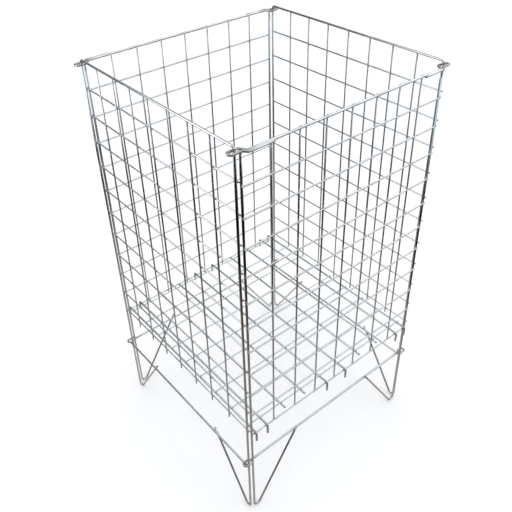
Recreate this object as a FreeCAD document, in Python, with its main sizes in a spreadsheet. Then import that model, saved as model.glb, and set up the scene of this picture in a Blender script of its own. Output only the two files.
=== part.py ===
import FreeCAD, Part
import math
import os
import re

import Sketcher

# Collapsible wire dump bin: four welded mesh panels joined at their corners by wire eyes
# round the posts of the two side hoops, and a loose wire tray hooked into the mesh.
#
# Millimetres. +Z is up and the origin is on the floor, in the middle of the bin.
# -Y is the front. The front and back panels end in eyes ("eye panels"); the left and
# right panels are each bent from one long wire with their posts in it ("hoop panels").

os.makedirs("parts", exist_ok=True)

SIZES = {
    # wire diameters
    "frame_wire": 4.0,
    "mesh_wire": 2.8,
    "deck_wire": 4.0,
    "deck_cross_wire": 2.5,
    # mesh of the four panels
    "mesh_pitch": 50.0,
    "upright_count": 7,
    "cross_count": 11,
    "end_trim": 0.5,          # a cross wire's end past the outside of the wire it is welded to
    # eye panels, front and back: x and y of the leg's axis, heights of axes
    "leg_x": 200.0,
    "leg_y": 204.5,
    "eye_base_z": 140.5,
    "eye_cross_z": 220.0,     # lowest cross wire
    "eye_rail_drop": 7.0,     # top rail below the hoops' top
    "eye_top_gap": 50.0,      # highest cross wire below the top rail
    "eye_upright_stub": 3.5,  # upright's end below the lowest cross wire's axis
    "eye_foot_lap": 6.5,      # foot's end above the base rail's axis
    # corner eyes round the hoops' posts
    "eye_play": 0.5,          # free gap between the post and the eye, each side
    "eye_nose": 10.0,         # from the post's axis out to the axis of the eye's closed end
    "eye_bend": 4.0,
    "eye_shoulder": 2.0,      # the strands leave the eye this far inside the leg's axis
    "inner_jog": 6.5,         # length along x over which the rail's strand steps into the eye
    "outer_jog": 5.0,         # the same for the strand that runs back along the rail
    # hoop panels, left and right
    "panel_play": 0.2,        # the left one's cross wires clear of the eye panels' legs
    "post_inset": 3.0,        # post's axis inside the leg's, in y
    "hoop_top_z": 777.0,
    "hoop_base_z": 134.5,
    "hoop_cross_rise": 6.0,   # lowest cross wire above the eye panels' lowest one
    "hoop_top_gap": 51.0,     # highest cross wire below the top rail
    "hoop_upright_stub": 8.5,
    "hoop_foot_lap": 5.0,
    "hoop_bend": 6.0,
    # V-shaped feet of all four panels
    "foot_bend": 7.5,
    "foot_angle": 33.0,       # degrees between the foot's two sides
    # tray
    "deck_play": 0.25,        # gap over the cross wires that it rests on
    "deck_pitch": 48.5,
    "deck_cross_pitch": 48.0,
    "deck_cross_count": 9,
    "deck_edge_gap": 1.0,     # outermost wires clear of the legs
    "plain_end_gap": 1.2,     # plain wires' ends short of the uprights
    "hook_play": 0.5,
    "hook_bend": 4.0,
    "hook_drop": 20.0,
}

# Places worked out from the sizes, as expressions.
# Eye panel, outwards from the bin's middle: base rail, leg, upright, cross wire, top rail.
BASE_Y = "(leg_y - frame_wire)"
CROSS_Y = "(leg_y + (frame_wire + mesh_wire) / 2)"
UPRIGHT_Y = "(leg_y + (frame_wire - mesh_wire) / 2)"
RAIL_Y = "(leg_y + frame_wire)"
LAP_Y = "(leg_y + 2 * frame_wire)"
HOOP_X = "(leg_x + frame_wire + mesh_wire + panel_play)"
POST_Y = "(leg_y - post_inset)"
EYE_GAP = "(frame_wire + eye_play)"
EYE_IN_Y = f"({POST_Y} - {EYE_GAP})"
EYE_OUT_Y = f"({POST_Y} + {EYE_GAP})"
EYE_END_X = f"({HOOP_X} + eye_nose)"
SHOULDER_X = "(leg_x - eye_shoulder)"
MESH_HALF = "(mesh_pitch * (upright_count - 1) / 2)"
EYE_RAIL_Z = "(hoop_top_z - eye_rail_drop)"
EYE_ROW = f"(({EYE_RAIL_Z} - eye_top_gap - eye_cross_z) / (cross_count - 1))"
# Hoop panel, measured in x from the hoop's plane.
HOOP_CROSS_X = "((frame_wire + mesh_wire) / 2)"
HOOP_UPRIGHT_X = "((frame_wire - mesh_wire) / 2)"
HOOP_CROSS_Z = "(eye_cross_z + hoop_cross_rise)"
HOOP_ROW = f"((hoop_top_z - hoop_top_gap - {HOOP_CROSS_Z}) / (cross_count - 1))"
# The corner where the two sides of a foot would meet, below the floor.
FOOT_CORNER_Z = "(foot_bend + frame_wire / 2 - foot_bend / tan(foot_angle * 1deg / 2))"
# Tray.
DECK_Z = "(eye_cross_z + mesh_wire / 2 + deck_play + deck_wire / 2)"
DECK_CROSS_Z = f"({DECK_Z} + (deck_wire + deck_cross_wire) / 2)"
HOOK_Y = f"({CROSS_Y} + (mesh_wire + deck_wire) / 2 + hook_play)"
DECK_EDGE_X = "(leg_x - (frame_wire + deck_wire) / 2 - deck_edge_gap)"
DECK_CROSS_HALF = f"({DECK_EDGE_X} + deck_wire / 2 + end_trim)"
PLAIN_END_Y = f"({UPRIGHT_Y} - mesh_wire / 2 - plain_end_gap)"

doc = FreeCAD.newDocument("dump_bin")
sheet = doc.addObject("Spreadsheet::Sheet", "Sizes")
for row, (alias, value) in enumerate(SIZES.items(), 1):
    sheet.set(f"A{row}", alias)
    sheet.set(f"B{row}", str(value))
    sheet.setAlias(f"B{row}", alias)
doc.recompute()

subparts = []


def bound(expression):
    """The expression with each size written as a cell of the sheet."""
    def cell(word):
        return f"Sizes.{word[0]}" if word[0] in SIZES else word[0]
    return re.sub(r"[a-z_]+", cell, expression)


def number(expression):
    return float(sheet.evalExpression(bound(expression)))


def fix(sketch, constraint, expression):
    index = sketch.addConstraint(constraint)
    sketch.setExpression(f"Constraints[{index}]", bound(expression))


def fix_point(sketch, geometry, vertex, place):
    """Hold a vertex at place, a pair of expressions measured from the sketch's origin."""
    for kind, expression in zip(("DistanceX", "DistanceY"), place):
        value = number(expression)
        fix(sketch, Sketcher.Constraint(kind, -1, 1, geometry, vertex, value), expression)


def new_body(name):
    body = doc.addObject("PartDesign::Body", name)
    body.AllowCompound = True
    return body


def new_sketch(body, name, plane, offset=None):
    sketch = body.newObject("Sketcher::SketchObject", name)
    origin_plane = next(f for f in body.Origin.OriginFeatures if f.Role == plane)
    sketch.AttachmentSupport = [(origin_plane, "")]
    sketch.MapMode = "FlatFace"
    if offset:
        sketch.setExpression("AttachmentOffset.Base.z", bound(offset))
    return sketch


def add_circle(sketch, place, diameter):
    centre = FreeCAD.Vector(number(place[0]), number(place[1]), 0)
    radius = number(diameter) / 2
    circle = sketch.addGeometry(Part.Circle(centre, FreeCAD.Vector(0, 0, 1), radius), False)
    fix_point(sketch, circle, 3, place)
    fix(sketch, Sketcher.Constraint("Diameter", circle, 2 * radius), diameter)


def straight_wires(name, plane, centres, diameter, length, start=None, row=None):
    """Straight wires square to a plane, each padded from a circle.

    Without start they reach as far on both sides of the plane. row is the sketch axis,
    pitch and count of a pattern that repeats them.
    """
    body = new_body(name)
    sketch = new_sketch(body, name + "_sections", plane, start)
    for place in centres:
        add_circle(sketch, place, diameter)
    pad = body.newObject("PartDesign::Pad", name + "_pad")
    pad.Profile = sketch
    pad.setExpression("Length", bound(length))
    pad.Midplane = start is None
    doc.recompute()
    if row:
        axis, pitch, count = row
        pattern = body.newObject("PartDesign::LinearPattern", name + "_row")
        pattern.Originals = [pad]
        pattern.Direction = (sketch, [axis])
        pattern.Mode = "Spacing"
        pattern.setExpression("Offset", bound(pitch))
        pattern.setExpression("Occurrences", bound(count))
        body.Tip = pattern
    return body


def draw_bent_path(sketch, corners, bends):
    """Lines between corners, rounded at each inner corner by its bend's radius."""
    points = [FreeCAD.Vector(number(x), number(y), 0) for x, y in corners]
    entries, exits, arcs = [points[0]], [points[0]], []
    for before, corner, after, bend in zip(points, points[1:], points[2:], bends):
        back = (before - corner).normalize()
        ahead = (after - corner).normalize()
        half = back.getAngle(ahead) / 2
        radius = number(bend)
        entries.append(corner + back * (radius / math.tan(half)))
        exits.append(corner + ahead * (radius / math.tan(half)))
        centre = corner + (back + ahead).normalize() * (radius / math.sin(half))
        turns_left = back.cross(ahead).z < 0
        arcs.append((centre, radius, turns_left))
    entries.append(points[-1])
    lines = [sketch.addGeometry(Part.LineSegment(a, b), False)
             for a, b in zip(exits, entries[1:])]
    for i, (centre, radius, turns_left) in enumerate(arcs):
        ends = (entries[i + 1], exits[i + 1])
        first, last = ends if turns_left else ends[::-1]
        angles = [math.atan2(p.y - centre.y, p.x - centre.x) for p in (first, last)]
        circle = Part.Circle(centre, FreeCAD.Vector(0, 0, 1), radius)
        arc = sketch.addGeometry(Part.ArcOfCircle(circle, *angles), False)
        from_vertex, to_vertex = (1, 2) if turns_left else (2, 1)
        sketch.addConstraint(Sketcher.Constraint("Tangent", lines[i], 2, arc, from_vertex))
        sketch.addConstraint(Sketcher.Constraint("Tangent", lines[i + 1], 1, arc, to_vertex))
        fix(sketch, Sketcher.Constraint("Radius", arc, radius), bends[i])
        corner = sketch.addGeometry(Part.Point(points[i + 1]), True)
        sketch.addConstraint(Sketcher.Constraint("PointOnObject", corner, 1, lines[i]))
        sketch.addConstraint(Sketcher.Constraint("PointOnObject", corner, 1, lines[i + 1]))
        fix_point(sketch, corner, 1, corners[i + 1])
    fix_point(sketch, lines[0], 1, corners[0])
    fix_point(sketch, lines[-1], 2, corners[-1])


def bent_wire(name, plane, corners, bends, diameter, offset=None):
    """One wire of round section bent in a plane."""
    body = new_body(name)
    path = new_sketch(body, name + "_path", plane, offset)
    draw_bent_path(path, corners, bends)
    doc.recompute()
    section = body.newObject("Sketcher::SketchObject", name + "_section")
    section.AttachmentSupport = [(path, "Edge1")]
    section.MapMode = "NormalToEdge"
    add_circle(section, ("0", "0"), diameter)
    pipe = body.newObject("PartDesign::AdditivePipe", name + "_pipe")
    pipe.Profile = section
    pipe.Spine = (path, [])
    doc.recompute()
    return body


def finish(body, node, turn=0.0, shift_x=None):
    """Place a sub-part in the bin and name its node."""
    body.Label = node
    body.Placement = FreeCAD.Placement(FreeCAD.Vector(),
                                       FreeCAD.Rotation(FreeCAD.Vector(0, 0, 1), turn))
    if shift_x:
        body.setExpression("Placement.Base.x", bound(shift_x))
    subparts.append(body)


def mirrored(corners):
    """A half path and its mirror image, joined across the middle."""
    return corners + [(f"-({x})", y) for x, y in reversed(corners)]


def eye_panel(side, turn):
    """Front or back panel, drawn at the front; turn puts it in its place."""
    name = side + "_"
    # Top rail: at each end it steps inwards, goes round the post and comes back on the
    # outside to lie along the rail as far as the first upright.
    top_half = [
        (f"-{MESH_HALF}", f"-{LAP_Y}"),
        (f"-{SHOULDER_X} + outer_jog", f"-{LAP_Y}"),
        (f"-{SHOULDER_X}", f"-{EYE_OUT_Y}"),
        (f"-{EYE_END_X}", f"-{EYE_OUT_Y}"),
        (f"-{EYE_END_X}", f"-{EYE_IN_Y}"),
        (f"-{SHOULDER_X}", f"-{EYE_IN_Y}"),
        (f"-{SHOULDER_X} + inner_jog", f"-{RAIL_Y}"),
    ]
    top_bends = ["eye_bend"] * 12
    finish(bent_wire(name + "top_rail", "XY_Plane", mirrored(top_half), top_bends,
                     "frame_wire", EYE_RAIL_Z), name + "top_rail", turn)
    # Base rail: inside the legs, with its eye's tail butted on the leg.
    base_half = [
        ("-(leg_x + frame_wire / 2)", f"-{EYE_OUT_Y}"),
        (f"-{EYE_END_X}", f"-{EYE_OUT_Y}"),
        (f"-{EYE_END_X}", f"-{EYE_IN_Y}"),
        (f"-({HOOP_X} - frame_wire / 2)", f"-{EYE_IN_Y}"),
        ("-(leg_x + frame_wire / 5)", f"-{BASE_Y}"),
    ]
    base_bends = ["eye_bend"] * 8
    finish(bent_wire(name + "bottom_rail", "XY_Plane", mirrored(base_half), base_bends,
                     "frame_wire", "eye_base_z"), name + "bottom_rail", turn)
    # Legs: down from the top rail, round the foot and back up to the base rail.
    foot_end_z = "(eye_base_z + eye_foot_lap)"
    foot_reach = f"({foot_end_z} - {FOOT_CORNER_Z}) * tan(foot_angle * 1deg)"
    for hand, sign in (("left", "-"), ("right", "")):
        corners = [
            (f"{sign}leg_x", f"{EYE_RAIL_Z} - frame_wire / 2"),
            (f"{sign}leg_x", FOOT_CORNER_Z),
            (f"{sign}(leg_x - {foot_reach})", foot_end_z),
        ]
        leg = name + hand + "_leg"
        finish(bent_wire(leg, "XZ_Plane", corners, ["foot_bend"], "frame_wire", "leg_y"),
               leg, turn)
    # Mesh: uprights inside, cross wires outside.
    foot_z = "(eye_cross_z - eye_upright_stub)"
    finish(straight_wires(name + "uprights", "XY_Plane", [(f"-{MESH_HALF}", f"-{UPRIGHT_Y}")],
                          "mesh_wire", f"{EYE_RAIL_Z} - {foot_z}", foot_z,
                          ("H_Axis", "mesh_pitch", "upright_count")),
           name + "uprights", turn)
    finish(straight_wires(name + "cross_wires", "YZ_Plane", [(f"-{CROSS_Y}", "eye_cross_z")],
                          "mesh_wire", "2 * (leg_x + frame_wire / 2 + end_trim)", None,
                          ("V_Axis", EYE_ROW, "cross_count")),
           name + "cross_wires", turn)


def hoop_panel(side, shift):
    """Left or right panel, drawn at x = 0; shift puts it in its place."""
    name = side + "_"
    # Hoop: one wire from the end of one foot over the top to the end of the other.
    foot_end_z = "(hoop_base_z + hoop_foot_lap)"
    foot_reach = f"({foot_end_z} - {FOOT_CORNER_Z}) * tan(foot_angle * 1deg)"
    half = [
        (f"-({POST_Y} - {foot_reach})", foot_end_z),
        (f"-{POST_Y}", FOOT_CORNER_Z),
        (f"-{POST_Y}", "hoop_top_z"),
    ]
    bends = ["foot_bend", "hoop_bend", "hoop_bend", "foot_bend"]
    finish(bent_wire(name + "hoop", "YZ_Plane", mirrored(half), bends, "frame_wire"),
           name + "hoop", 0.0, shift)
    finish(straight_wires(name + "bottom_rail", "XZ_Plane", [("-frame_wire", "hoop_base_z")],
                          "frame_wire", f"2 * ({POST_Y} + end_trim)"),
           name + "bottom_rail", 0.0, shift)
    # Mesh: uprights under the top rail, cross wires on their +X side.
    foot_z = f"({HOOP_CROSS_Z} - hoop_upright_stub)"
    finish(straight_wires(name + "uprights", "XY_Plane", [(HOOP_UPRIGHT_X, f"-{MESH_HALF}")],
                          "mesh_wire", f"hoop_top_z - frame_wire / 2 - {foot_z}", foot_z,
                          ("V_Axis", "mesh_pitch", "upright_count")),
           name + "uprights", 0.0, shift)
    finish(straight_wires(name + "cross_wires", "XZ_Plane", [(HOOP_CROSS_X, HOOP_CROSS_Z)],
                          "mesh_wire", f"2 * ({POST_Y} + frame_wire / 2 + end_trim)", None,
                          ("V_Axis", HOOP_ROW, "cross_count")),
           name + "cross_wires", 0.0, shift)


def tray():
    """Loose base: six hooked wires, four plain ones between them and nine across."""
    hook_places = {
        "left_edge": f"-{DECK_EDGE_X}",
        "left_outer": "-3.5 * deck_pitch",
        "left_middle": "-0.5 * deck_pitch",
        "right_middle": "0.5 * deck_pitch",
        "right_outer": "3.5 * deck_pitch",
        "right_edge": DECK_EDGE_X,
    }
    half = [(f"-{HOOK_Y}", f"{DECK_Z} - hook_drop"), (f"-{HOOK_Y}", DECK_Z)]
    for place, x in hook_places.items():
        node = f"tray_{place}_hook_wire"
        finish(bent_wire(node, "YZ_Plane", mirrored(half), ["hook_bend"] * 2, "deck_wire", x),
               node)
    plain_places = {
        "left_outer": "-2.5 * deck_pitch",
        "left_inner": "-1.5 * deck_pitch",
        "right_inner": "1.5 * deck_pitch",
        "right_outer": "2.5 * deck_pitch",
    }
    for place, x in plain_places.items():
        node = f"tray_{place}_plain_wire"
        finish(straight_wires(node, "XZ_Plane", [(x, DECK_Z)], "deck_wire", f"2 * {PLAIN_END_Y}"),
               node)
    first_y = "-(deck_cross_pitch * (deck_cross_count - 1) / 2)"
    finish(straight_wires("tray_cross_wires", "YZ_Plane", [(first_y, DECK_CROSS_Z)],
                          "deck_cross_wire", f"2 * {DECK_CROSS_HALF}", None,
                          ("H_Axis", "deck_cross_pitch", "deck_cross_count")),
           "tray_cross_wires")


eye_panel("front", 0.0)
eye_panel("back", 180.0)
hoop_panel("left", f"-{HOOP_X}")
hoop_panel("right", HOOP_X)
tray()
doc.recompute()

for item in doc.Objects:
    if "Invalid" in item.State or "Error" in item.State:
        raise RuntimeError(f"{item.Label} failed: {item.State}")
for body in subparts:
    if body.Shape.isNull() or not body.Shape.isValid():
        raise RuntimeError(f"{body.Label} has no valid shape")

for body in subparts:
    body.Shape.exportStep(f"parts/{body.Label}.step")
    print(body.Label, len(body.Shape.Solids), "solids", round(body.Shape.Volume), "mm3")
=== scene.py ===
import math
import random

import bmesh
import bpy
from mathutils import Euler, Matrix, Vector


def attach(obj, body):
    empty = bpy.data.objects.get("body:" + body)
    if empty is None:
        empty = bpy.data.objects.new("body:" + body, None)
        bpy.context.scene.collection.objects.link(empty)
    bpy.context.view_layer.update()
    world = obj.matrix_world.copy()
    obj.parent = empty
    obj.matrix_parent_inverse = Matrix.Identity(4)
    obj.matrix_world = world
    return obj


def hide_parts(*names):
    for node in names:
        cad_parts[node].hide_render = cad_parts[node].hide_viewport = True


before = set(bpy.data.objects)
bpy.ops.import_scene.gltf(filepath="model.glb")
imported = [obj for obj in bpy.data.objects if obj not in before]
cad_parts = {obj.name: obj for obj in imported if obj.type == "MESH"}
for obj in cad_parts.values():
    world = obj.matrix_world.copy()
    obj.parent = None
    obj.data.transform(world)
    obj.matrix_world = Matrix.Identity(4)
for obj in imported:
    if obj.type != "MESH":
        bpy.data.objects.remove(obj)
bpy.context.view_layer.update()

# The bin's wires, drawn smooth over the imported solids. Sizes are in millimetres here and
# become metres when a mesh is built. -Y is the front and the floor is at z = 0.
MM = 0.001
FRAME_R, MESH_R, DECK_CROSS_R = 2.0, 1.4, 1.25
PITCH, UPRIGHTS, ROWS = 50.0, 7, 11
MESH_HALF = PITCH * (UPRIGHTS - 1) / 2
COLUMNS = [PITCH * i - MESH_HALF for i in range(UPRIGHTS)]
FOOT_ANGLE, FOOT_BEND = math.radians(33.0), 7.5
FOOT_CORNER_Z = FOOT_BEND + FRAME_R - FOOT_BEND / math.tan(FOOT_ANGLE / 2)

# How far the ends run on past the wires they are welded to.
CROSS_OVERHANG = 0.5
EYE_FOOT_OVERHANG, HOOP_FOOT_OVERHANG = 6.5, 5
EYE_UPRIGHT_OVERHANG, HOOP_UPRIGHT_OVERHANG = 3.5, 8.5

# How finely wires are drawn: the turn between two points of a bend, the longest chord on one,
# the spacing on a run, and the distances from a weld at which a wire has points of its own.
BEND_STEP, BEND_CHORD, RUN_STEP = math.radians(11), 4, 18.0
WELD_STEPS = (-6, -3, -1, 1, 3, 6)

# Wear and painted shade: a bend of this radius is fully worn, the painted contact shade and the heat
# round a weld fade over this distance, and wires sway off their true line by about this much.
WORN_BEND, HEAT_AND_SHADE_REACH, SWAY = 4.0, 4.5, 0.09

# A sheared end: how wide its flat is against the wire, how far it stands out, how much it
# leans, and how burnt it looks.
END_FLAT, END_DEPTH, END_LEAN, END_HEAT = 0.80, 0.38, 0.10, 0.35

# The sizes of the welds, and how much longer those along the eyes' returned strands are.
MESH_WELD, DECK_WELD, UPRIGHT_WELD, EYE_WELD, FOOT_WELD = 1.35, 1.5, 1.6, 2.0, 2.1
LAP_WELD, LAP_WELD_REACH = 1.7, 1.9

random.seed(20)


# ---------------------------------------------------------------- wires

def rounded(corners, bends):
    """Points along runs and rounded corners, each with the wear of its bend, 0 on a run."""
    corners = [Vector(c) for c in corners]
    stops = [(corners[0], 0.0)]
    for before, corner, after, bend in zip(corners, corners[1:], corners[2:], bends):
        back, ahead = (before - corner).normalized(), (after - corner).normalized()
        half = back.angle(ahead) / 2
        reach = bend / math.tan(half)
        centre = corner + (back + ahead).normalized() * (bend / math.sin(half))
        first = corner + back * reach - centre
        last = corner + ahead * reach - centre
        sweep = first.angle(last)
        axis = first.cross(last).normalized()
        count = max(3, math.ceil(sweep / BEND_STEP))
        for i in range(count + 1):
            turned = Matrix.Rotation(sweep * i / count, 3, axis) @ first
            stops.append((centre + turned, min(1.0, (WORN_BEND / bend) ** 2)))
    stops.append((corners[-1], 0.0))
    points = [stops[0]]
    for (a, bend_a), (b, bend_b) in zip(stops, stops[1:]):
        length = (b - a).length
        on_bend = bend_a and bend_b and length < BEND_CHORD
        parts = 1 if on_bend else math.ceil(length / RUN_STEP)
        for i in range(1, parts + 1):
            points.append((a.lerp(b, i / parts), bend_b if i == parts else 0.0))
    return points


def straight(start, end, marks=()):
    """Points of a straight wire, close together round each mark, where a weld heats it."""
    start, end = Vector(start), Vector(end)
    length = (end - start).length
    spots = {0.0, length}
    for mark in marks:
        spots.update(mark + d for d in WELD_STEPS if 0 < mark + d < length)
    spots = sorted(spots)
    for a, b in list(zip(spots, spots[1:])):
        spots += [a + (b - a) * i / 3 for i in (1, 2) if b - a > 20]
    return [(start.lerp(end, s / length), 0.0) for s in sorted(spots)]


class Wires:
    """A mesh of round wires and the welds on them.

    Two attributes steer the finish: "drawn" holds the place along and round the wire,
    "worn" holds weld heat with the painted contact shade round welds, bending (which welds also use
    for painted shade) and a number of the wire's own.
    """

    def __init__(self, place=Matrix.Identity(4)):
        self.bm = bmesh.new()
        self.drawn = self.bm.verts.layers.float_color.new("drawn")
        self.worn_and_shaded = self.bm.verts.layers.float_color.new("worn_and_shaded")
        self.place = place

    def wire(self, points, radius, heated_and_shaded=()):
        """A tube with sheared ends. heated lists points on the wire where welds are; round them the wire is
        dulled by weld heat and darkened with painted contact shade.
        """
        sides = 16 if radius > MESH_R else 12
        own = random.random()
        # The fourth phase is not used, but it is drawn so that later draws stay as they are.
        phases = [random.uniform(0, math.tau) for _ in range(4)]
        spots = [p for p, _ in points]
        tangents = []
        for i in range(len(spots)):
            a, b = spots[max(i - 1, 0)], spots[min(i + 1, len(spots) - 1)]
            tangents.append((b - a).normalized())
        across = tangents[0].orthogonal().normalized()
        rings, along = [], 0.0
        for i, (spot, bend) in enumerate(points):
            if i:
                along += (spot - spots[i - 1]).length
                across = (across - tangents[i] * across.dot(tangents[i])).normalized()
            other = tangents[i].cross(across)
            # A drawn and straightened wire is never quite true.
            sway = (across * math.sin(along / 67 + phases[0]) + other * math.sin(along / 91 + phases[1])
                    + across * 0.5 * math.sin(along / 29 + phases[2]))
            centre = spot + sway * SWAY
            # Round each weld the wire is darkened with painted contact shade, and the weld's heat dulls it.
            heat_and_shade = max((math.exp(-((spot - h).length / HEAT_AND_SHADE_REACH) ** 2) for h in heated_and_shaded), default=0.0)
            rings.append(self.ring(centre, across, other, radius, sides, along, heat_and_shade, bend, own))
        for ring, direction in ((rings[0], -tangents[0]), (rings[-1], tangents[-1])):
            self.close(ring, direction, radius)
        for a, b in zip(rings, rings[1:]):
            for i in range(sides):
                j = (i + 1) % sides
                self.bm.faces.new((a[i], a[j], b[j], b[i]))

    def ring(self, centre, across, other, radius, sides, along, heat_and_shade, bend, own):
        """One ring of a tube's vertices, with what steers the finish there."""
        ring = []
        for i in range(sides):
            angle = math.tau * i / sides
            vert = self.bm.verts.new(centre + (across * math.cos(angle) + other * math.sin(angle)) * radius)
            vert[self.drawn] = (along / 100, math.cos(angle), math.sin(angle), 1)
            vert[self.worn_and_shaded] = (heat_and_shade, bend, own, 1)
            ring.append(vert)
        return ring

    def close(self, ring, direction, radius):
        """A sheared end: a rolled edge, then a flat that leans a little."""
        centre = sum((v.co for v in ring), Vector()) / len(ring)
        lean = ring[0].co - centre
        inner = []
        for vert in ring:
            arm = vert.co - centre
            slant = END_LEAN * arm.dot(lean) / radius
            new = self.bm.verts.new(centre + arm * END_FLAT + direction * (END_DEPTH + slant))
            vert.co += direction * slant
            new[self.drawn] = vert[self.drawn]
            new[self.worn_and_shaded] = (END_HEAT, 1.0, vert[self.worn_and_shaded][2], 1)
            inner.append(new)
        ahead = (ring[1].co - ring[0].co).cross(ring[2].co - ring[1].co).dot(direction) > 0
        for i in range(len(ring)):
            j = (i + 1) % len(ring)
            face = (ring[i], ring[j], inner[j], inner[i])
            self.bm.faces.new(face if ahead else face[::-1])
        self.bm.faces.new(inner if ahead else inner[::-1])

    def weld(self, centre, first, second, radius, reach=1.0):
        """Metal squeezed out where two wires are pressed together and fused."""
        centre = Vector(centre)
        first, second = Vector(first).normalized(), Vector(second).normalized()
        normal = first.cross(second)
        if normal.length < 0.05:
            normal = Vector((0, 0, 1)) if abs(first.z) < 0.9 else Vector((1, 0, 0))
        normal.normalize()
        size = radius * random.uniform(0.92, 1.10)
        scale = (size * 1.22 * reach, size * 1.22, size * 0.72)
        made = bmesh.ops.create_icosphere(self.bm, subdivisions=2, radius=1.0)["verts"]
        side = normal.cross(first)
        own = random.random()
        for vert in made:
            x, y, z = vert.co
            swell = 1 + 0.10 * math.sin(3 * x + 5 * y + own * 9)
            vert[self.drawn] = (own * 9 + x * 0.02, y, z, 1)
            # The weld is darkened as painted contact shade where the wires meet, and dulled by weld heat.
            vert[self.worn_and_shaded] = (0.9, 0.6, own, 1)
            vert.co = centre + (first * x * scale[0] + side * y * scale[1]) * swell + normal * z * scale[2]

    def build(self, name, body, slot, material, *nodes):
        """Make these wires one object that rides a body and stands in for the CAD nodes."""
        bmesh.ops.transform(self.bm, matrix=self.place, verts=self.bm.verts)
        bmesh.ops.scale(self.bm, vec=(MM,) * 3, verts=self.bm.verts)
        bmesh.ops.recalc_face_normals(self.bm, faces=self.bm.faces)
        mesh = bpy.data.meshes.new(name)
        self.bm.to_mesh(mesh)
        self.bm.free()
        mesh.shade_smooth()
        mesh.materials.append(material)
        piece = bpy.data.objects.new(name, mesh)
        bpy.context.scene.collection.objects.link(piece)
        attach(piece, body)
        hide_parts(*nodes)
        return piece


# ---------------------------------------------------------------- finish

# Blued tints some wires at random. Burnt darkens sheared ends, weld heat and the painted contact shade round
# welds; bruised darkens worn bends, sheared ends and the painted shade on welds.
BLUED, BURNT_AND_SHADED, BRUISED_AND_SHADED = (0.60, 0.71, 0.82), (0.43, 0.40, 0.36), (0.30, 0.28, 0.26)


def plated(name, light, dark, rough, blue):
    """Bright zinc on drawn steel wire: streaks along it, cloudy plating, dull welds and bends, and painted
    contact shade darkening welds and the wire round them.
    """
    material = bpy.data.materials.new(name)
    material.use_nodes = True
    tree = material.node_tree
    nodes, link = tree.nodes, tree.links.new
    shader = nodes["Principled BSDF"]
    shader.inputs["Metallic"].default_value = 1.0

    def node(kind, **values):
        made = nodes.new(kind)
        for key, value in values.items():
            setattr(made, key, value)
        return made

    def noise(vector, scale, detail):
        made = node("ShaderNodeTexNoise")
        made.inputs["Scale"].default_value = scale
        made.inputs["Detail"].default_value = detail
        link(vector, made.inputs["Vector"])
        return made.outputs["Fac"]

    def spread(value, low, high, out_low, out_high):
        made = node("ShaderNodeMapRange")
        for key, number in zip(("From Min", "From Max", "To Min", "To Max"), (low, high, out_low, out_high)):
            made.inputs[key].default_value = number
        link(value, made.inputs["Value"])
        return made.outputs["Result"]

    def blend(factor, first, second):
        made = node("ShaderNodeMix", data_type="RGBA")
        for socket, colour in ((made.inputs[6], first), (made.inputs[7], second)):
            if isinstance(colour, tuple):
                socket.default_value = (*colour, 1)
            else:
                link(colour, socket)
        link(factor, made.inputs["Factor"])
        return made.outputs[2]

    def calculate(operation, first, second):
        made = node("ShaderNodeMath", operation=operation)
        for socket, value in zip(made.inputs, (first, second)):
            if isinstance(value, float):
                socket.default_value = value
            else:
                link(value, socket)
        return made.outputs[0]

    drawn = node("ShaderNodeAttribute", attribute_name="drawn")
    worn_and_shaded = node("ShaderNodeAttribute", attribute_name="worn_and_shaded")
    parts = node("ShaderNodeSeparateColor")
    link(worn_and_shaded.outputs["Color"], parts.inputs["Color"])
    heat_and_shade, bend, own = parts.outputs
    stretch = node("ShaderNodeMapping")
    stretch.inputs["Scale"].default_value = (2.2, 3.6, 3.6)
    link(drawn.outputs["Vector"], stretch.inputs["Vector"])
    streaks = noise(stretch.outputs["Vector"], 2.4, 3.0)
    place = node("ShaderNodeTexCoord").outputs["Object"]
    clouds = noise(place, 38.0, 3.0)
    grain = noise(place, 1400.0, 2.0)

    colour = blend(spread(clouds, 0.35, 0.65, 0.0, 1.0), dark, light)
    colour = blend(spread(streaks, 0.52, 0.74, 0.0, 0.45), colour, tuple(c * 0.72 for c in dark))
    colour = blend(spread(own, 0.0, 1.0, 0.0, blue), colour, BLUED)
    # Welds and the wire round them are darkened here as painted contact shade; sheared ends and bends darken
    # as wear.
    colour = blend(calculate("MULTIPLY", heat_and_shade, 0.42), colour, BURNT_AND_SHADED)
    colour = blend(calculate("MULTIPLY", bend, 0.60), colour, BRUISED_AND_SHADED)
    link(colour, shader.inputs["Base Color"])
    roughness = spread(clouds, 0.3, 0.7, rough, rough + 0.10)
    roughness = calculate("ADD", roughness, spread(streaks, 0.45, 0.7, 0.0, 0.07))
    roughness = calculate("ADD", roughness, calculate("MULTIPLY", heat_and_shade, 0.20))
    roughness = calculate("ADD", roughness, calculate("MULTIPLY", bend, 0.05))
    link(roughness, shader.inputs["Roughness"])
    bump = node("ShaderNodeBump")
    bump.inputs["Strength"].default_value = 0.25
    bump.inputs["Distance"].default_value = 0.0003
    link(calculate("ADD", calculate("MULTIPLY", streaks, 0.6), calculate("MULTIPLY", grain, 0.4)),
         bump.inputs["Height"])
    link(bump.outputs["Normal"], shader.inputs["Normal"])
    return material


frame_finish = plated("zinc_frame_wire", (0.84, 0.84, 0.85), (0.71, 0.71, 0.72), 0.12, 0.15)
mesh_finish = plated("zinc_mesh_wire", (0.82, 0.82, 0.83), (0.69, 0.69, 0.70), 0.14, 0.15)
tray_finish = plated("zinc_tray_wire", (0.78, 0.86, 0.87), (0.66, 0.75, 0.76), 0.15, 0.20)


# ---------------------------------------------------------------- eye panels, front and back

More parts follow.
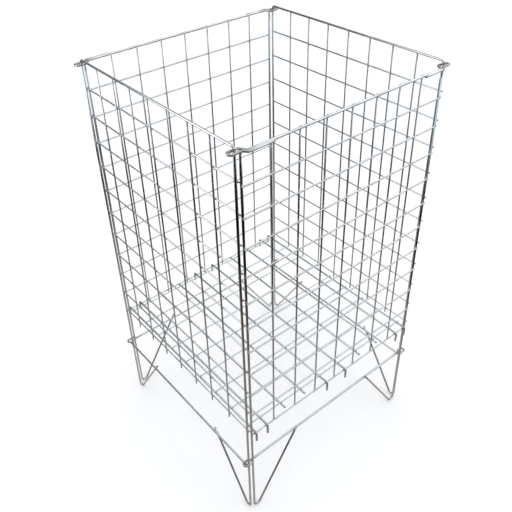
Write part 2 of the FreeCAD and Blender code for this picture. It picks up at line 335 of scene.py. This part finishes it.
LEG_X, LEG_Y = 200.0, 204.5
RAIL_Z, BASE_Z, LOW_CROSS_Z = 770.0, 140.5, 220.0
HOOP_X, POST_Y = 207.0, 201.5
EYE_GAP, EYE_END_X, EYE_BEND, SHOULDER_X = 4.5, 217.0, 4.0, 198.0
BASE_Y, UPRIGHT_Y, CROSS_Y, RAIL_Y, LAP_Y = -200.5, -205.1, -207.9, -208.5, -212.5
LAP_WELDS_X = (-183, -160, 160, 183)
LAP_SLANT, RAIL_SLANT = 5, 6.5
BASE_END_X, BASE_SHOULDER_X, BASE_TURN_X, BASE_WELD_X = 202, 205, 200.8, 201.6


def foot_reach(z):
    """How far the foot's slanting side lies from its upright one at this height."""
    return (z - FOOT_CORNER_Z) * math.tan(FOOT_ANGLE)


def mirrored(half):
    """A path from one end to its middle, carried on to the other end."""
    return half + [(-x, *rest) for x, *rest in reversed(half)]


def heights(lowest):
    """The heights of a panel's cross wires."""
    return [lowest + PITCH * i for i in range(ROWS)]


def eye_panel(side, turn):
    """The front or back panel: two rails that end in eyes, two legs, and the mesh on them."""
    place = Matrix.Rotation(turn, 4, "Z")
    rows = heights(LOW_CROSS_Z)
    inner_y, outer_y = -(POST_Y - EYE_GAP), -(POST_Y + EYE_GAP)

    half = [(-MESH_HALF, LAP_Y, RAIL_Z), (LAP_SLANT - SHOULDER_X, LAP_Y, RAIL_Z),
            (-SHOULDER_X, outer_y, RAIL_Z), (-EYE_END_X, outer_y, RAIL_Z),
            (-EYE_END_X, inner_y, RAIL_Z), (-SHOULDER_X, inner_y, RAIL_Z),
            (RAIL_SLANT - SHOULDER_X, RAIL_Y, RAIL_Z)]
    rail = Wires(place)
    taps = [Vector((x, y, RAIL_Z)) for x in COLUMNS + [-LEG_X, LEG_X] for y in (RAIL_Y, LAP_Y)]
    rail.wire(rounded(mirrored(half), [EYE_BEND] * 12), FRAME_R, taps)
    for x in LAP_WELDS_X:
        rail.weld((x, (RAIL_Y + LAP_Y) / 2, RAIL_Z), (1, 0, 0), (1, 0, 0), LAP_WELD, LAP_WELD_REACH)
    for x in COLUMNS:
        rail.weld((x, RAIL_Y + 1.9, RAIL_Z), (1, 0, 0), (0, 0, 1), UPRIGHT_WELD)
    for x in (-LEG_X, LEG_X):
        rail.weld((x, outer_y + 0.6, RAIL_Z - 2.2), (1, 0, 0), (0, 0, 1), EYE_WELD)
    rail.build(side + "_top_rail.plated", "frame", "frame_wire", frame_finish, side + "_top_rail")

    half = [(-BASE_END_X, outer_y, BASE_Z), (-EYE_END_X, outer_y, BASE_Z), (-EYE_END_X, inner_y, BASE_Z),
            (-BASE_SHOULDER_X, inner_y, BASE_Z), (-BASE_TURN_X, BASE_Y, BASE_Z)]
    base = Wires(place)
    foot_x = LEG_X - foot_reach(BASE_Z)
    feet = [Vector((x * s, BASE_Y, BASE_Z)) for x in (LEG_X, foot_x) for s in (-1, 1)]
    base.wire(rounded(mirrored(half), [EYE_BEND] * 8), FRAME_R, feet)
    for spot in feet:
        base.weld(spot + Vector((0, -2, 0)), (1, 0, 0), (0, 0, 1), FOOT_WELD)
    for s in (-1, 1):
        base.weld((s * BASE_WELD_X, outer_y + 0.4, BASE_Z), (0, 0, 1), (1, 0, 0), EYE_WELD)
    base.build(side + "_bottom_rail.plated", "frame", "frame_wire", frame_finish, side + "_bottom_rail")

    end_z = BASE_Z + EYE_FOOT_OVERHANG
    for hand, s in (("left", -1), ("right", 1)):
        leg = Wires(place)
        path = [(s * LEG_X, -LEG_Y, RAIL_Z - 2), (s * LEG_X, -LEG_Y, FOOT_CORNER_Z),
                (s * (LEG_X - foot_reach(end_z)), -LEG_Y, end_z)]
        taps = [Vector((s * LEG_X, -LEG_Y, z)) for z in rows + [BASE_Z]]
        taps.append(Vector((s * foot_x, -LEG_Y, BASE_Z)))
        leg.wire(rounded(path, [FOOT_BEND]), FRAME_R, taps)
        leg.build(f"{side}_{hand}_leg.plated", "frame", "frame_wire", frame_finish, f"{side}_{hand}_leg")

    uprights = Wires(place)
    low = LOW_CROSS_Z - EYE_UPRIGHT_OVERHANG
    for x in COLUMNS:
        uprights.wire(straight((x, UPRIGHT_Y, low), (x, UPRIGHT_Y, RAIL_Z), [z - low for z in rows]),
                      MESH_R, [Vector((x, UPRIGHT_Y, z)) for z in rows])
    uprights.build(side + "_uprights.plated", "frame", "mesh_wire", mesh_finish, side + "_uprights")

    cross = Wires(place)
    end = LEG_X + FRAME_R + CROSS_OVERHANG
    stops = [-LEG_X] + COLUMNS + [LEG_X]
    for z in rows:
        cross.wire(straight((-end, CROSS_Y, z), (end, CROSS_Y, z), [x + end for x in stops]),
                   MESH_R, [Vector((x, CROSS_Y, z)) for x in stops])
        for x in stops:
            cross.weld((x, (UPRIGHT_Y + CROSS_Y) / 2, z), (1, 0, 0), (0, 0, 1), MESH_WELD)
    cross.build(side + "_cross_wires.plated", "frame", "mesh_wire", mesh_finish, side + "_cross_wires")


# ---------------------------------------------------------------- hoop panels, left and right

HOOP_Z, HOOP_BASE_Z, HOOP_LOW_CROSS_Z = 777.0, 134.5, 226.0
HOOP_BEND, HOOP_BASE_END_Y = 6, 202


def hoop_panel(side, x):
    """The left or right panel: the hoop with its two feet, a bottom rail, and the mesh on them."""
    rows = heights(HOOP_LOW_CROSS_Z)
    end_z = HOOP_BASE_Z + HOOP_FOOT_OVERHANG
    half = [(x, foot_reach(end_z) - POST_Y, end_z), (x, -POST_Y, FOOT_CORNER_Z), (x, -POST_Y, HOOP_Z)]
    path = half + [(x, -y, z) for x, y, z in reversed(half)]
    taps = [Vector((x, s * POST_Y, z)) for s in (-1, 1) for z in rows + [HOOP_BASE_Z]]
    taps += [Vector((x, y, HOOP_Z)) for y in COLUMNS]
    hoop = Wires()
    hoop.wire(rounded(path, [FOOT_BEND, HOOP_BEND, HOOP_BEND, FOOT_BEND]), FRAME_R, taps)
    for y in COLUMNS:
        hoop.weld((x + 0.5, y, HOOP_Z - 2.0), (0, 1, 0), (1, 0, 0), UPRIGHT_WELD)
    hoop.build(side + "_hoop.plated", "frame", "frame_wire", frame_finish, side + "_hoop")

    base = Wires()
    rail_x = x - 2 * FRAME_R
    near = POST_Y - foot_reach(HOOP_BASE_Z)
    stops = [-POST_Y, -near, near, POST_Y]
    base.wire(straight((rail_x, -HOOP_BASE_END_Y, HOOP_BASE_Z), (rail_x, HOOP_BASE_END_Y, HOOP_BASE_Z),
                       [y + HOOP_BASE_END_Y for y in stops]),
              FRAME_R, [Vector((rail_x, y, HOOP_BASE_Z)) for y in stops])
    for y in stops:
        base.weld((x - 2, y, HOOP_BASE_Z), (0, 1, 0), (0, 0, 1), FOOT_WELD)
    base.build(side + "_bottom_rail.plated", "frame", "frame_wire", frame_finish, side + "_bottom_rail")

    uprights = Wires()
    low, up_x = HOOP_LOW_CROSS_Z - HOOP_UPRIGHT_OVERHANG, x + FRAME_R - MESH_R
    for y in COLUMNS:
        uprights.wire(straight((up_x, y, low), (up_x, y, HOOP_Z - 2), [z - low for z in rows]),
                      MESH_R, [Vector((up_x, y, z)) for z in rows])
    uprights.build(side + "_uprights.plated", "frame", "mesh_wire", mesh_finish, side + "_uprights")

    cross = Wires()
    cross_x, end = x + FRAME_R + MESH_R, POST_Y + FRAME_R + CROSS_OVERHANG
    stops = [-POST_Y] + COLUMNS + [POST_Y]
    for z in rows:
        cross.wire(straight((cross_x, -end, z), (cross_x, end, z), [y + end for y in stops]),
                   MESH_R, [Vector((cross_x, y, z)) for y in stops])
        for y in stops:
            cross.weld(((up_x + cross_x) / 2, y, z), (0, 1, 0), (0, 0, 1), MESH_WELD)
    cross.build(side + "_cross_wires.plated", "frame", "mesh_wire", mesh_finish, side + "_cross_wires")


# ---------------------------------------------------------------- tray

DECK_Z, DECK_CROSS_Z, HOOK_Y, HOOK_Z, HOOK_BEND = 223.65, 226.9, 211.8, 203.65, 4
DECK_PITCH, DECK_EDGE_X = 48.5, 195.0
DECK_CROSS_LINES = [-192 + 48 * i for i in range(9)]
PLAIN_END_Y, DECK_CROSS_END_X = 202.5, 197.5


def tray():
    """The loose tray: hooked wires, plain ones between them, and thin cross wires on top."""
    hooks = {"left_edge": -DECK_EDGE_X, "left_outer": -3.5 * DECK_PITCH, "left_middle": -0.5 * DECK_PITCH,
             "right_middle": 0.5 * DECK_PITCH, "right_outer": 3.5 * DECK_PITCH, "right_edge": DECK_EDGE_X}
    plain = {"left_outer": -2.5 * DECK_PITCH, "left_inner": -1.5 * DECK_PITCH,
             "right_inner": 1.5 * DECK_PITCH, "right_outer": 2.5 * DECK_PITCH}
    for name, x in hooks.items():
        wire = Wires()
        half = [(x, -HOOK_Y, HOOK_Z), (x, -HOOK_Y, DECK_Z)]
        path = half + [(x, -y, z) for x, y, z in reversed(half)]
        taps = [Vector((x, y, DECK_Z)) for y in DECK_CROSS_LINES]
        wire.wire(rounded(path, [HOOK_BEND, HOOK_BEND]), FRAME_R, taps)
        node = f"tray_{name}_hook_wire"
        wire.build(node + ".plated", "tray", "tray_wire", tray_finish, node)
    for name, x in plain.items():
        wire = Wires()
        wire.wire(straight((x, -PLAIN_END_Y, DECK_Z), (x, PLAIN_END_Y, DECK_Z),
                           [y + PLAIN_END_Y for y in DECK_CROSS_LINES]),
                  FRAME_R, [Vector((x, y, DECK_Z)) for y in DECK_CROSS_LINES])
        node = f"tray_{name}_plain_wire"
        wire.build(node + ".plated", "tray", "tray_wire", tray_finish, node)
    cross = Wires()
    stops = sorted([*hooks.values(), *plain.values()])
    for y in DECK_CROSS_LINES:
        cross.wire(straight((-DECK_CROSS_END_X, y, DECK_CROSS_Z), (DECK_CROSS_END_X, y, DECK_CROSS_Z),
                            [x + DECK_CROSS_END_X for x in stops]),
                   DECK_CROSS_R, [Vector((x, y, DECK_CROSS_Z)) for x in stops])
        for x in stops:
            cross.weld((x, y, DECK_Z + FRAME_R), (1, 0, 0), (0, 1, 0), DECK_WELD)
    cross.build("tray_cross_wires.plated", "tray", "tray_wire", tray_finish, "tray_cross_wires")


eye_panel("front", 0.0)
eye_panel("back", math.pi)
hoop_panel("left", -HOOP_X)
hoop_panel("right", HOOP_X)
tray()


# ---------------------------------------------------------------- floor, light and camera

scene = bpy.context.scene


def make_floor(radius):
    """A plain pale floor. The wires mirror the surroundings instead of it."""
    bm = bmesh.new()
    bmesh.ops.create_circle(bm, cap_ends=True, segments=96, radius=radius)
    mesh = bpy.data.meshes.new("floor")
    bm.to_mesh(mesh)
    bm.free()
    floor = bpy.data.objects.new("floor", mesh)
    scene.collection.objects.link(floor)
    material = bpy.data.materials.new("floor")
    material.use_nodes = True
    shader = material.node_tree.nodes["Principled BSDF"]
    shader.inputs["Base Color"].default_value = (0.95, 0.95, 0.95, 1)
    shader.inputs["Roughness"].default_value = 0.95
    shader.inputs["Specular IOR Level"].default_value = 0.1
    mesh.materials.append(material)
    floor.visible_glossy = False


# What the bright wires mirror, which decides how they look: a studio floor that is lit near the
# bin, dark in a ring round that and pale and cool further out, then low dark walls and a bright
# ceiling on the front right side. Each row is a floor radius in metres or an angle above the
# horizon, the direction of its bright side, the brightness there and opposite, and its tint.
# A bright card on the left evens out the side panels' cross wires, and a black one close to the
# front left corner darkens its posts.
NEUTRAL, PALE, COOL = (1.0, 1.0, 1.0), (0.93, 1.0, 1.02), (0.84, 1.0, 1.12)
WARM, BROWN = (1.06, 0.99, 0.95), (1.30, 0.95, 0.75)
FLOOR_ROWS = [(0.0, 0, 0.48, 0.48, PALE), (0.3, 60, 0.62, 0.38, WARM), (0.5, 150, 0.38, 0.20, WARM),
              (0.7, 170, 0.18, 0.0, BROWN), (0.9, 170, 0.03, 0.0, BROWN), (1.2, 330, 0.0, 0.0, NEUTRAL),
              (1.5, 345, 0.62, 0.0, COOL), (1.8, 320, 1.20, 0.30, COOL), (2.1, 300, 1.35, 0.65, COOL),
              (3.5, 20, 1.0, 0.0, NEUTRAL)]
ROOM_ROWS = [(12, 20, 0.2, 0.0, NEUTRAL), (24, 330, 1.30, 0.0, NEUTRAL), (31, 320, 1.75, 0.10, NEUTRAL),
             (37, 315, 1.85, 0.16, NEUTRAL), (48, 315, 1.30, 0.16, PALE), (65, 315, 0.95, 1.15, PALE),
             (90, 0, 1.15, 1.15, PALE)]
ROOM_RADIUS, SECTORS = 14.0, 72
MIRRORED_FLOOR_Z = -0.01


def make_surroundings():
    """A glowing floor and dome that only mirror rays see."""
    rows = [(radius, MIRRORED_FLOOR_Z, *rest) for radius, *rest in FLOOR_ROWS]
    rows.append((ROOM_RADIUS, MIRRORED_FLOOR_Z, *FLOOR_ROWS[-1][1:]))
    for degrees, *rest in ROOM_ROWS:
        rise = math.radians(degrees)
        rows.append((ROOM_RADIUS * math.cos(rise), ROOM_RADIUS * math.sin(rise), *rest))
    bm = bmesh.new()
    glow = bm.verts.layers.float_color.new("glow")
    rings = []
    for radius, height, side, bright, dim, tint in rows:
        radius = max(radius, 0.001)
        ring = []
        for i in range(SECTORS):
            turn = math.tau * i / SECTORS
            vert = bm.verts.new((radius * math.cos(turn), radius * math.sin(turn), height))
            mix = (1 + math.cos(turn - math.radians(side))) / 2
            level = dim + (bright - dim) * (mix ** 2 if height < 0 else mix)
            vert[glow] = (*(level * c for c in tint), 1)
            ring.append(vert)
        rings.append(ring)
    for inner, outer in zip(rings, rings[1:]):
        for i in range(SECTORS):
            j = (i + 1) % SECTORS
            bm.faces.new((inner[i], inner[j], outer[j], outer[i]))
    mirrored_only("surroundings", bm)


def make_card(name, start, end, z_ends, level):
    """An upright card over the line from start to end that only mirror rays see."""
    bm = bmesh.new()
    glow = bm.verts.layers.float_color.new("glow")
    low, high = z_ends
    corners = [bm.verts.new(corner) for corner in ((*start, low), (*end, low), (*end, high), (*start, high))]
    for vert in corners:
        vert[glow] = (level, level, level, 1)
    bm.faces.new(corners)
    mirrored_only(name, bm)


def mirrored_only(name, bm):
    """Turn this mesh into a stage object that glows by its "glow" colours in mirror rays alone."""
    mesh = bpy.data.meshes.new(name)
    bm.to_mesh(mesh)
    bm.free()
    piece = bpy.data.objects.new(name, mesh)
    scene.collection.objects.link(piece)
    material = bpy.data.materials.new(name)
    material.use_nodes = True
    nodes, link = material.node_tree.nodes, material.node_tree.links.new
    colour = nodes.new("ShaderNodeAttribute")
    colour.attribute_name = "glow"
    emission = nodes.new("ShaderNodeEmission")
    link(colour.outputs["Color"], emission.inputs["Color"])
    link(emission.outputs[0], nodes["Material Output"].inputs["Surface"])
    mesh.materials.append(material)
    piece.visible_camera = piece.visible_diffuse = False
    piece.visible_shadow = piece.visible_transmission = False


def make_world():
    """Even pale light all round, which the camera sees past the floor's edge."""
    world = bpy.data.worlds.new("studio")
    world.use_nodes = True
    scene.world = world
    background = world.node_tree.nodes["Background"]
    background.inputs["Color"].default_value = (0.97, 0.98, 1.0, 1)
    background.inputs["Strength"].default_value = 1.07


def softbox(name, spot, aim, size, power):
    """A soft lamp that lights the floor and is not mirrored."""
    data = bpy.data.lights.new(name, "AREA")
    data.shape, data.size, data.size_y = "RECTANGLE", *size
    data.energy = power
    lamp = bpy.data.objects.new(name, data)
    lamp.location = spot
    lamp.rotation_euler = (Vector(aim) - Vector(spot)).to_track_quat("-Z", "Y").to_euler()
    lamp.visible_glossy = False
    scene.collection.objects.link(lamp)


make_floor(ROOM_RADIUS)
make_surroundings()
make_card("left_card", (-0.50, -0.05), (-0.50, 0.42), (0.52, 1.50), 1.9)
make_card("corner_card", (-0.31, -0.20), (-0.18, -0.31), (0.53, 0.745), 0.0)
make_world()
softbox("over", (0, 0, 3.2), (0, 0, 0), (3.0, 3.0), 10)
softbox("left_front", (-2.6, -1.2, 1.6), (0, 0, 0.4), (1.6, 2.2), 4)
softbox("right_front", (1.8, -2.6, 1.2), (0, 0, 0.3), (2.0, 1.6), 4)

SENSOR_WIDTH, FOCAL_PIXELS, IMAGE_PIXELS = 36.0, 640.22, 512
camera_data = bpy.data.cameras.new("camera")
camera_data.sensor_width = SENSOR_WIDTH
camera_data.lens = FOCAL_PIXELS / IMAGE_PIXELS * SENSOR_WIDTH
camera_data.shift_x, camera_data.shift_y = 0.01779, -0.05677
camera_data.clip_start, camera_data.clip_end = 0.02, 60.0
camera = bpy.data.objects.new("camera", camera_data)
camera.location = (-0.62405, -0.75552, 1.14761)
camera.rotation_euler = Euler([math.radians(a) for a in (54.6968, 1.7247, -39.2035)])
scene.collection.objects.link(camera)
scene.camera = camera
scene.view_settings.view_transform = "Standard"
